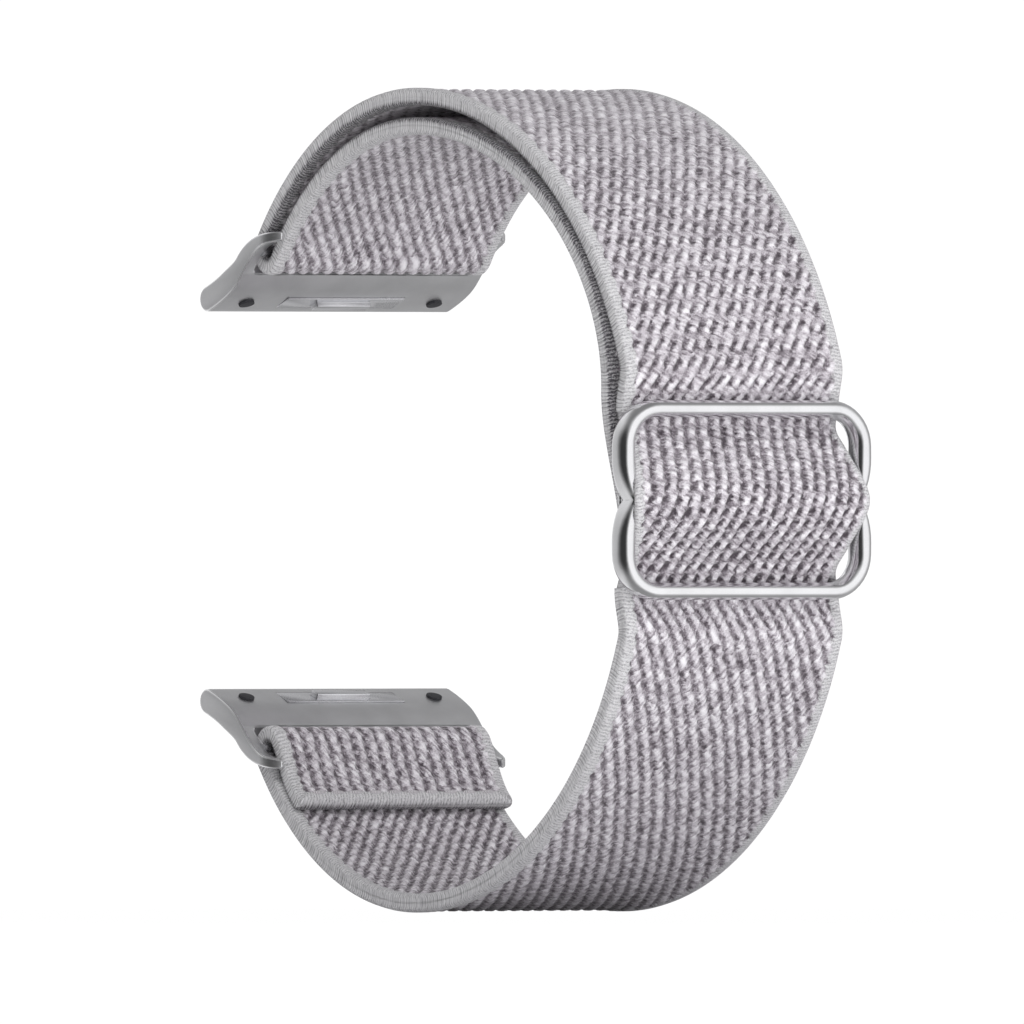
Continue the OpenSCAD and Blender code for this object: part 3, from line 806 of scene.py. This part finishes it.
# %% Metal materials
def metal(name, colour, rough, spread, grain, depth):
    """A metal in object millimetres: grain counts the marks per mm, and depth is theirs in mm."""
    finish = Finish(name, colour, Metallic=1.0)
    at = finish.object_place()
    cloud = finish.noise(at, 0.35, 3.0)
    marks = finish.noise(at, grain, 3.0, 0.6)
    finish.varies("Roughness", rough + (cloud - 0.5) * spread + (marks - 0.5) * spread * 0.5)
    darker = tuple(0.90 * part for part in colour)
    finish.varies("Base Color", finish.colours(cloud, (0.30, darker), (0.70, colour)))
    finish.bump(marks, depth * MM)
    return finish


polished = metal("polished_steel", (0.83, 0.83, 0.84), 0.15, 0.10, 5.0, 0.003)
satin = metal("satin_metal", (0.76, 0.76, 0.77), 0.44, 0.10, 9.0, 0.012)
bright_cut = metal("bright_cut_edge", (0.90, 0.90, 0.91), 0.16, 0.06, 4.0, 0.002)
plain_steel = metal("smooth_steel", (0.70, 0.70, 0.72), 0.26, 0.10, 7.0, 0.004)

rubber = Finish("pad_rubber", (0.035, 0.035, 0.04), Specular_IOR_Level=0.35)
rubber_grain = rubber.noise(rubber.object_place(), 6.0, 3.0)
rubber.varies("Roughness", rubber_grain * 0.25 + 0.55)
rubber.varies("Base Color", rubber.colours(rubber_grain, (0.3, (0.025, 0.025, 0.03)),
                                           (0.7, (0.05, 0.05, 0.055))))
rubber.bump(rubber_grain, 0.02 * MM)
print("materials", [material.name for material in bpy.data.materials])

# %% [markdown]
# ## The buckle's frame
# A rounded rectangle with a waist in each side, where the centre bar crosses it. It looks like bent
# wire, but its window has no waist. So both outlines are drawn as loops of points, bridged into a
# flat ring and extruded. The bevel then rounds the section, less at the waist, where the ring is too
# narrow for the full radius. Last, the ring is stretched from front to back, so that its section
# becomes an oval.

# %% The frame's two outlines
CORNER_POINTS, WAIST_POINTS = 11, 7


def all_round(quadrant):
    """A closed outline from its part in +x and +z, which runs from the top to the side."""
    right = np.concatenate([quadrant, quadrant[-2::-1] * (1, -1)])
    return np.concatenate([right, right[::-1] * (-1, 1)])


corner_x, corner_z = FRAME_W / 2 - FRAME_CORNER, FRAME_H / 2 - FRAME_CORNER
waist_z = math.sqrt(2 * WAIST_R * WAIST_NOTCH - WAIST_NOTCH ** 2)
waist_turn = math.degrees(math.asin(waist_z / WAIST_R))
lobe = arc((FRAME_W / 2 - WAIST_R, waist_z), WAIST_R, 0, -waist_turn, count=WAIST_POINTS)
lobe[-1, 1] = 0.0  # the two halves meet in this point
frame_corner = arc((corner_x, corner_z), FRAME_CORNER, 90, 0, count=CORNER_POINTS)
frame_outline = all_round(np.concatenate([frame_corner, lobe]))
window_r = FRAME_CORNER - FRAME_BAR
window_corner = arc((WINDOW_W / 2 - window_r, corner_z), window_r, 90, 0, count=CORNER_POINTS)
window_side = np.stack([np.full(len(lobe), WINDOW_W / 2), lobe[:, 1]], 1)
window_outline = all_round(np.concatenate([window_corner, window_side]))
print("outlines of", len(frame_outline), "and", len(window_outline), "points")

# %% Bridge, extrude and bevel
ROUND_EDGE, ROUND_DEPTH = 0.78, 1.6
WAIST_SHARE, WAIST_FROM, WAIST_TO = 0.28, 0.3, 3.2


def set_points(piece, points):
    """Moves all points of a mesh to places in mm."""
    piece.data.vertices.foreach_set("co", (np.asarray(points, float) * MM).ravel())
    piece.data.update()


bpy.ops.object.select_all(action="DESELECT")
bpy.ops.mesh.primitive_circle_add(vertices=len(frame_outline), radius=FRAME_W / 2 * MM)
buckle = bpy.context.object
buckle.name = "buckle_ring"
bpy.ops.object.mode_set(mode="EDIT")
bpy.ops.mesh.primitive_circle_add(vertices=len(window_outline), radius=WINDOW_W / 2 * MM)
bpy.ops.object.mode_set(mode="OBJECT")
both = np.concatenate([frame_outline, window_outline])
set_points(buckle, [(x, SEAT_TO_MIDDLE + FRAME_BACK, z) for x, z in both])
edit(buckle)
bpy.ops.mesh.bridge_edge_loops()
bpy.ops.mesh.select_all(action="SELECT")
bpy.ops.mesh.extrude_region_move(TRANSFORM_OT_translate={"value": (0, ROUND_DEPTH * MM, 0)})
close_solid()
print("frame", len(buckle.data.polygons), "faces before its bevel")

# %% Round the frame's section
back_y = (SEAT_TO_MIDDLE + FRAME_BACK) * MM
weights = buckle.data.attributes.new("bevel_weight_edge", "FLOAT", "EDGE")
flat_faces = [face for face in buckle.data.polygons if abs(face.normal.y) > 0.5]
rims = {}
for face in flat_faces:
    for key in face.edge_keys:
        rims[key] = rims.get(key, 0) + 1
for edge in buckle.data.edges:
    if rims.get(edge.key) == 1:
        ends = [buckle.data.vertices[index].co for index in edge.vertices]
        height = abs(ends[0].z + ends[1].z) / 2 / MM
        away = ease(height, WAIST_FROM, WAIST_TO)
        weights.data[edge.index].value = WAIST_SHARE + (1 - WAIST_SHARE) * away


def finish_shape(piece, angle):
    """Applies all modifiers and smooths all but the sharp edges."""
    only(piece)
    for modifier in list(piece.modifiers):
        bpy.ops.object.modifier_apply(modifier=modifier.name)
    bpy.ops.object.shade_smooth_by_angle(angle=math.radians(angle))
    print(piece.name, len(piece.data.polygons), "faces")


rounding = buckle.modifiers.new("rounding", "BEVEL")
rounding.limit_method = "WEIGHT"
rounding.width, rounding.segments = ROUND_EDGE * MM, 9
rounding.use_clamp_overlap = False
finish_shape(buckle, 50)
edit(buckle)
bpy.ops.transform.resize(value=(1, FRAME_DEPTH / ROUND_DEPTH, 1), center_override=(0, back_y, 0))
bpy.ops.object.mode_set(mode="OBJECT")
buckle.data.materials.append(polished.material)
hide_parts("buckle_frame")
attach(buckle, "buckle")

# %% [markdown]
# ## The lug adapters
# Each adapter is one machined piece: a round-ended rail that slides into the watch, a thin neck, and
# two cheeks that hold the crossbar. Its side view is the same all the way across, so the view is
# filled and extruded, and a cutter takes out the slot between the cheeks. The slot's closed end has
# round corners, as a milling tool leaves them.

# %% The adapter's side view
RAIL_T, NECK_T, TIP_T, CHEEK_W = 2.3, 1.75, 0.85, 1.25
RAIL_TURN, NECK_TURN, TIP_TURN = 20, 47, 2
ADAPTER_W = WINDOW_W + 2 * CHEEK_W
TIP_ROUND = 2.4
rail_foot, neck, tip = BAR + (-7.9, -4.45), BAR + (-2.15, -1.1), BAR + (3.55, 1.4)

rise = 1.9 * toward(NECK_TURN)
rail_side = bezier(rail_foot, rail_foot + 2.6 * toward(RAIL_TURN), neck - rise, neck, count=31)
tip_side = bezier(neck, neck + rise, tip - 2.6 * toward(TIP_TURN), tip, count=31)
spine = np.concatenate([rail_side, tip_side[1:]])
print("spine of", len(spine), "points")

# %% Its outline and the slot's
spine_k = np.linspace(0, 1, len(spine))
spine_t = np.where(spine_k < 0.5, RAIL_T + (NECK_T - RAIL_T) * ease(spine_k, 0.25, 0.5),
                   NECK_T + (TIP_T - NECK_T) * ease(spine_k, 0.5, 1.0))
offset = left_of_line(spine) * spine_t[:, None] / 2
rail_end = arc(rail_foot, RAIL_T / 2, RAIL_TURN + 90 + 165, RAIL_TURN + 90 + 15, step=15)
adapter_outline = np.concatenate([spine + offset, (spine - offset)[::-1], rail_end])
slot_r = TURN_OUT + 0.25
slot_outline = np.concatenate([
    [(5.5, -0.2)], arc((0, 0), slot_r, -5, -77, step=6), arc((-0.95, -1.3), 1.3, -77, -175, step=8),
    arc((0, 0), slot_r, -176, -270, step=6), [(5.5, slot_r)]]) + BAR
print("outlines of", len(adapter_outline), "and", len(slot_outline), "points")

# %% Fill, extrude and cut
SLOT_CORNER, BRIGHT_EDGE = 0.8, 0.17


def drawn(name, points, travel):
    """A solid: points in mm are joined to one face, which is extruded by travel."""
    bpy.ops.object.select_all(action="DESELECT")
    bpy.ops.mesh.primitive_circle_add(vertices=len(points), radius=MM)
    piece = bpy.context.object
    piece.name = name
    set_points(piece, points)
    edit(piece)
    bpy.ops.mesh.edge_face_add()
    bpy.ops.mesh.extrude_region_move(TRANSFORM_OT_translate={"value": Vector(travel) * MM})
    close_solid()
    return piece


def drawn_across(name, outline, half_width):
    """A solid right across the strap, from a side view in mm from the loop's middle."""
    points = [(-half_width, SEAT_TO_MIDDLE + y, z) for y, z in outline]
    return drawn(name, points, (2 * half_width, 0, 0))


def cut(piece, *cutters):
    """Takes the cutters out of a piece, one after another, and deletes them."""
    for cutter in cutters:
        only(piece)
        hole = piece.modifiers.new("hole", "BOOLEAN")
        hole.operation, hole.solver, hole.object = "DIFFERENCE", "EXACT", cutter
        bpy.ops.object.modifier_apply(modifier=hole.name)
        bpy.data.objects.remove(cutter)


def select_edges(piece, chosen):
    """Goes into edit mode with just the edges selected whose two ends pass the test."""
    edit(piece)
    bpy.ops.mesh.select_mode(type="EDGE")
    bpy.ops.mesh.select_all(action="DESELECT")
    bpy.ops.object.mode_set(mode="OBJECT")
    for edge in piece.data.edges:
        ends = [piece.data.vertices[index].co / MM for index in edge.vertices]
        edge.select = bool(chosen(*ends))
    bpy.ops.object.mode_set(mode="EDIT")


# %% Cut the slot and round the cheeks' tips
adapter = drawn_across("upper_adapter_body", adapter_outline, ADAPTER_W / 2)
cutter = drawn_across("slot_cutter", slot_outline, WINDOW_W / 2)
slot_closed = SEAT_TO_MIDDLE + BAR[0] + 1.0
select_edges(cutter, lambda a, b: abs(a.x - b.x) < 0.1 and max(a.y, b.y) < slot_closed)
bpy.ops.mesh.bevel(offset=SLOT_CORNER * MM, segments=5, affect="EDGES", clamp_overlap=False)
bpy.ops.object.mode_set(mode="OBJECT")
beyond = TIP_ROUND + 1
tip_plan = np.concatenate([arc((0, 0), TIP_ROUND, 0, 90, count=9),
                           [(-1, beyond), (beyond, beyond), (beyond, 0)]])
tip_plan += (ADAPTER_W / 2 - TIP_ROUND, SEAT_TO_MIDDLE + tip[0] - TIP_ROUND)
tip_cutters = [drawn("tip_cutter", [(side * x, y, tip[1] - 2) for x, y in tip_plan], (0, 0, 4))
               for side in (-1, 1)]
cut(adapter, cutter, *tip_cutters)
print("adapter", len(adapter.data.polygons), "faces after its cuts")

# %% Bright edges
adapter.data.materials.append(satin.material)
adapter.data.materials.append(bright_cut.material)
edges = adapter.modifiers.new("bright_edges", "BEVEL")
edges.width, edges.segments = BRIGHT_EDGE * MM, 3
edges.limit_method, edges.angle_limit = "ANGLE", math.radians(38)
edges.material, edges.use_clamp_overlap = 1, False
finish_shape(adapter, 38)

# %% [markdown]
# The rail's inner face has a shallow bed for the latch's cover, a deeper pocket for the button and
# its spring, and a round hole for each rubber pad. The crossbar is a drawn rod pressed into the two
# cheeks, so it is a circle, extruded across. Both adapters are alike, so the lower one is the upper
# one's mirror image.

# %% The rail's recess
rail_middle = rail_foot + 2.0 * toward(RAIL_TURN)


def on_rail(x, out):
    """A place beside the latch, in metres: across the strap, and out from the rail's middle."""
    y, z = rail_middle + out * toward(RAIL_TURN + 90)
    return Vector((x, SEAT_TO_MIDDLE + y, z)) * MM


def rail_block(width, length, low, high):
    bpy.ops.object.select_all(action="DESELECT")
    bpy.ops.mesh.primitive_cube_add(size=MM, location=on_rail(0, (low + high) / 2),
                                    rotation=(math.radians(RAIL_TURN), 0, 0),
                                    scale=(width, length, high - low))
    return bpy.context.object


def rail_hole(x, r, low, high):
    bpy.ops.object.select_all(action="DESELECT")
    bpy.ops.mesh.primitive_cylinder_add(vertices=32, radius=r * MM, depth=(high - low) * MM,
                                        location=on_rail(x, (low + high) / 2),
                                        rotation=(math.radians(RAIL_TURN), 0, 0))
    return bpy.context.object


FACE = -RAIL_T / 2
cut(adapter, rail_block(13.1, 2.4, FACE - 1, FACE + 0.25), rail_block(7.4, 1.6, FACE, FACE + 1.35),
    rail_hole(-10.5, 0.75, FACE - 1, FACE + 0.3), rail_hole(10.5, 0.75, FACE - 1, FACE + 0.3))
finish_shape(adapter, 38)

# %% Crossbar, and the lower adapter
PRESSED_IN = 0.3
bar_outline = arc(BAR, BAR_R, 0, 360, count=33)[:-1]
crossbar = drawn_across("upper_crossbar", bar_outline, WINDOW_W / 2 + PRESSED_IN)
finish_shape(crossbar, 40)
crossbar.data.materials.append(plain_steel.material)


def mirrored(piece, name):
    """The same piece turned top to bottom, with its faces turned out again."""
    copy = copied(piece, name)
    copy.data.transform(Matrix.Diagonal((1, 1, -1, 1)))
    copy.data.flip_normals()
    return copy


lower_pieces = (mirrored(adapter, "lower_adapter_body"), mirrored(crossbar, "lower_crossbar"))
for end, pieces in (("upper", (adapter, crossbar)), ("lower", lower_pieces)):
    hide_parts(end + "_adapter")
    for piece in pieces:
        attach(piece, end + "_lug")
print("adapters", adapter.name, "and", lower_pieces[0].name)

# %% [markdown]
# ## Latches, covers and pads
# The small parts of the rails are right in the CAD model, but their edges are knife sharp, and real
# ones catch a line of light. Each is copied, its doubled points are merged, its flat faces joined, and
# its edges rounded by a small bevel. The leaf springs and the centre bar hardly show, so they only get
# their finish.

# %% Small parts
def softened(node, name, width, finish, body):
    """A copy of a CAD node with its edges rounded, which stands for the node on its body."""
    piece = copied(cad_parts[node], name)
    piece.parent = None
    for key in list(piece.keys()):
        del piece[key]
    edit(piece)
    bpy.ops.mesh.remove_doubles(threshold=0.001 * MM)
    bpy.ops.mesh.dissolve_limited(angle_limit=math.radians(2))
    bpy.ops.object.mode_set(mode="OBJECT")
    piece.data.materials.clear()
    piece.data.materials.append(finish.material)
    rounding = piece.modifiers.new("rounding", "BEVEL")
    rounding.width, rounding.segments = width * MM, 3
    rounding.limit_method, rounding.angle_limit = "ANGLE", math.radians(50)
    finish_shape(piece, 40)
    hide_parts(node)
    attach(piece, body)


def finished(node, finish):
    """A CAD node that is shown as it is, with a finish of its own."""
    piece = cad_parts[node]
    piece.data.materials.clear()
    piece.data.materials.append(finish.material)
    return piece


for end, up in (("upper", 1), ("lower", -1)):
    softened(end + "_latch", end + "_latch_button", 0.12, plain_steel, end + "_button")
    softened(end + "_latch_cover", end + "_cover_plate", 0.05, plain_steel, end + "_lug")
    softened(end + "_rail_pads", end + "_damping_pads", 0.06, rubber, end + "_lug")
    spring = finished(end + "_latch_spring", plain_steel)
    end + "_latch_press"
    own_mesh(spring)
finished("buckle_centre_bar", polished)

# %% [markdown]
# ## Stitches
# Two rows of thread hold the tape: one through the folded end and one behind the centre bar. One
# stitch is a small bead of thread whose ends dive into the cloth. It is modelled once, from a ball
# that is drawn out long and low, and then copied along the row.

# %% Thread
TWIST_PITCH, TWIST_LEAN = 0.16, 0.6
thread = Finish("sewing_thread", (0.60, 0.565, 0.60), Roughness=0.6, Sheen_Weight=0.2)
twist_x, twist_y, twist_z = thread.parts(thread.object_place())
twist_at = twist_x + twist_y * TWIST_LEAN + twist_z * TWIST_LEAN
twist = cosine(twist_at * (TURN / TWIST_PITCH)) * 0.5 + 0.5
thread.varies("Base Color", thread.colours(twist, (0.0, (0.30, 0.28, 0.30)),
                                           (0.8, (0.72, 0.69, 0.72))))
thread.bump(twist, 0.03 * MM)
print("thread", thread.material.name)

# %% One stitch, and a row of them
STITCH_L, STITCH_T, STITCH_STEP, SEAM_SIDE = 1.5, 0.30, 2.1, 1.5


def one_stitch():
    """A stitch along x at the origin."""
    bpy.ops.object.select_all(action="DESELECT")
    bpy.ops.mesh.primitive_uv_sphere_add(segments=10, ring_count=8, radius=MM)
    stitch = bpy.context.object
    edit(stitch)
    bpy.ops.transform.resize(value=(STITCH_L / 2, STITCH_T * 0.8, STITCH_T * 0.62),
                             center_override=(0, 0, 0))
    bpy.ops.object.mode_set(mode="OBJECT")
    bpy.ops.object.shade_smooth()
    stitch.data.materials.append(thread.material)
    return stitch


def stitches(name, place, direction, node, body):
    """A row of stitches across the strap, at a place in mm of the side view."""
    count = int((TAPE_W - 2 * SEAM_SIDE - STITCH_L) / STITCH_STEP)
    stitch = one_stitch()
    made = []
    for i in range(count + 1):
        copy = copied(stitch, name)
        copy.location = in_frame(*place) + Vector(((i - count / 2) * STITCH_STEP * MM, 0, 0))
        copy.rotation_euler = (math.atan2(direction[1], direction[0]), 0, 0)
        made.append(copy)
    bpy.data.objects.remove(stitch)
    only(*made)
    bpy.ops.object.join()
    row = made[0]
    bpy.ops.object.transform_apply(location=True, rotation=True, scale=True)
    print(name, len(row.data.polygons), "faces")
    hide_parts(node)
    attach(row, body)


# %% Two seams
FOLD_SEAM, SEWN_SEAM = 1.0, 0.73
FOLD_OUT, SEWN_OUT = TAPE_T / 2 + 0.10, -(SEWN_T / 2 + 0.12)


def seam_at(points, lengths, at, out):
    """Where a seam lies: its place at a length along a route, raised by out, and its direction."""
    place = np.array([np.interp(at, lengths, points[:, i]) for i in (0, 1)])
    index = int(np.searchsorted(lengths, at))
    direction = points[index + 1] - points[index - 1]
    direction /= np.linalg.norm(direction)
    normal = np.array([-direction[1], direction[0]])
    return place + normal * out, direction


fold_place, fold_dir = seam_at(flipped(fold), fold_s, fold_s[-1] - FOLD_SEAM, FOLD_OUT)
stitches("fold_stitches", fold_place, fold_dir, "fold_seam", "webbing")
down_len = np.concatenate([[0], np.cumsum(np.linalg.norm(np.diff(sewn_down, axis=0), axis=1))])
sewn_place, sewn_dir = seam_at(sewn_down, down_len, SEWN_SEAM * down_len[-1], SEWN_OUT)
stitches("sewn_end_stitches", sewn_place, sewn_dir, "sewn_end_seam", "buckle")
